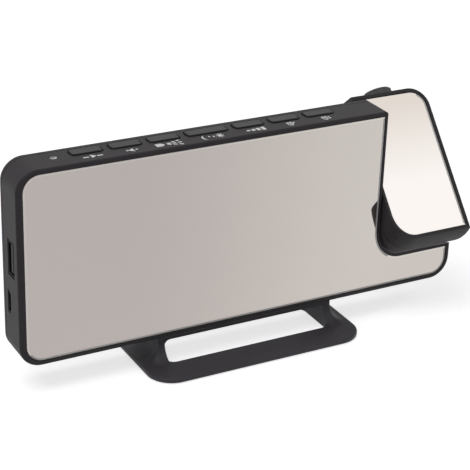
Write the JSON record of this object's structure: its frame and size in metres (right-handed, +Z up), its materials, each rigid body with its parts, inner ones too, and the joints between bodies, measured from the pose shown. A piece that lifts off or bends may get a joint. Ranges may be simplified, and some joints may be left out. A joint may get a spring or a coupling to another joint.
{
  "type": "projection alarm clock",
  "caption": "Slim mirror-front projection alarm clock: turning projector head in a corner notch, press buttons on top, sockets at the side, flat ring stand.",
  "frame": {"origin": "middle of the front foot strip's underside, on the table", "axes": "+X to the clock's right as seen from in front, +Y towards its back, +Z up"},
  "size_m": [0.19, 0.0549, 0.0904],
  "materials": {
    "shell": "charcoal moulded plastic, fine matte texture",
    "stand": "charcoal moulded plastic, satin",
    "button": "charcoal moulded plastic, smooth",
    "ring_plastic": "dark moulded plastic, ribbed",
    "mirror": "silvered acrylic sheet",
    "black_plastic": "black moulded plastic",
    "display_black": "dark filter with digit segments",
    "circuit_board": "green glass-fibre board",
    "white_nylon": "white nylon",
    "socket_steel": "pressed steel",
    "socket_black": "black-plated pressed steel",
    "screw_steel": "zinc-plated steel",
    "brass_screw": "yellow passivated screws",
    "contact_brass": "spring brass",
    "clear_lens": "clear",
    "image_glass": "dark image panel",
    "lamp_board_white": "white coated board",
    "lamp": "lamp with a pale dome",
    "lead_sheath": "soft grey sheath",
    "foot_rubber": "black rubber"
  },
  "bodies": {
    "clock": {"housing": "shell", "rear_cover": "shell", "mirror_panel": "mirror", "cover_screws": "screw_steel", "sensor_lens": "clear_lens", "light_sensor": "black_plastic", "button_board": "circuit_board", "tact_switches": "black_plastic", "display_module": "display_black", "main_board": "circuit_board", "board_screws": "brass_screw", "control_chip": "black_plastic", "buzzer": "black_plastic", "lead_connector": "white_nylon", "usb_a_socket": "socket_black", "usb_a_tongue": "black_plastic", "usb_contacts": "contact_brass", "micro_usb_socket": "socket_black", "micro_usb_tongue": "black_plastic", "coin_cell": "socket_steel", "cell_contact": "contact_brass", "battery_door": "shell", "door_screw": "screw_steel", "stand": "stand", "stand_screws": "screw_steel", "foot_strips": "foot_rubber"},
    "head": {"head_front": "shell", "head_rear": "shell", "head_screws": "screw_steel", "head_mirror": "mirror", "axle_tube": "black_plastic", "spring_washer": "socket_steel", "retaining_clip": "screw_steel", "lamp_board": "lamp_board_white", "projector_lamp": "lamp", "condenser_lens": "clear_lens", "image_panel": "image_glass", "optics_frame": "black_plastic", "lens_sleeve": "black_plastic", "projector_lead": "lead_sheath"},
    "focus_ring": {"focus_ring": "ring_plastic", "lens_cell": "black_plastic", "projection_lens": "clear_lens"},
    "button_down": {"button_down": "button"},
    "button_up": {"button_up": "button"},
    "button_project": {"button_project": "button"},
    "button_snooze": {"button_snooze": "button"},
    "button_mode": {"button_mode": "button"},
    "button_alarm_1": {"button_alarm_1": "button"},
    "button_alarm_2": {"button_alarm_2": "button"}
  },
  "joints": [
    {"name": "head_tilt", "type": "hinge", "parent": "clock", "child": "head", "pos_m": [0.0594, 0.0194, 0.051], "axis": [-1, 0, 0], "range_deg": [-130.3, 49.7]},
    {"name": "focus_turn", "type": "hinge", "parent": "head", "child": "focus_ring", "pos_m": [0.0767, 0.04314, 0.08201], "axis": [0, 0.6468, 0.7627], "range_deg": [-120, 120]},
    {"name": "button_down_press", "type": "slide", "parent": "clock", "child": "button_down", "axis": [0, 0, -1], "range_m": [0, 0.00045], "stiffness_N_per_m": 1000, "springref_m": -0.0004},
    {"name": "button_up_press", "type": "slide", "parent": "clock", "child": "button_up", "axis": [0, 0, -1], "range_m": [0, 0.00045], "stiffness_N_per_m": 1000, "springref_m": -0.0004},
    {"name": "button_project_press", "type": "slide", "parent": "clock", "child": "button_project", "axis": [0, 0, -1], "range_m": [0, 0.00045], "stiffness_N_per_m": 1000, "springref_m": -0.0004},
    {"name": "button_snooze_press", "type": "slide", "parent": "clock", "child": "button_snooze", "axis": [0, 0, -1], "range_m": [0, 0.00045], "stiffness_N_per_m": 1000, "springref_m": -0.0004},
    {"name": "button_mode_press", "type": "slide", "parent": "clock", "child": "button_mode", "axis": [0, 0, -1], "range_m": [0, 0.00045], "stiffness_N_per_m": 1000, "springref_m": -0.0004},
    {"name": "button_alarm_1_press", "type": "slide", "parent": "clock", "child": "button_alarm_1", "axis": [0, 0, -1], "range_m": [0, 0.00045], "stiffness_N_per_m": 1000, "springref_m": -0.0004},
    {"name": "button_alarm_2_press", "type": "slide", "parent": "clock", "child": "button_alarm_2", "axis": [0, 0, -1], "range_m": [0, 0.00045], "stiffness_N_per_m": 1000, "springref_m": -0.0004}
  ]
}
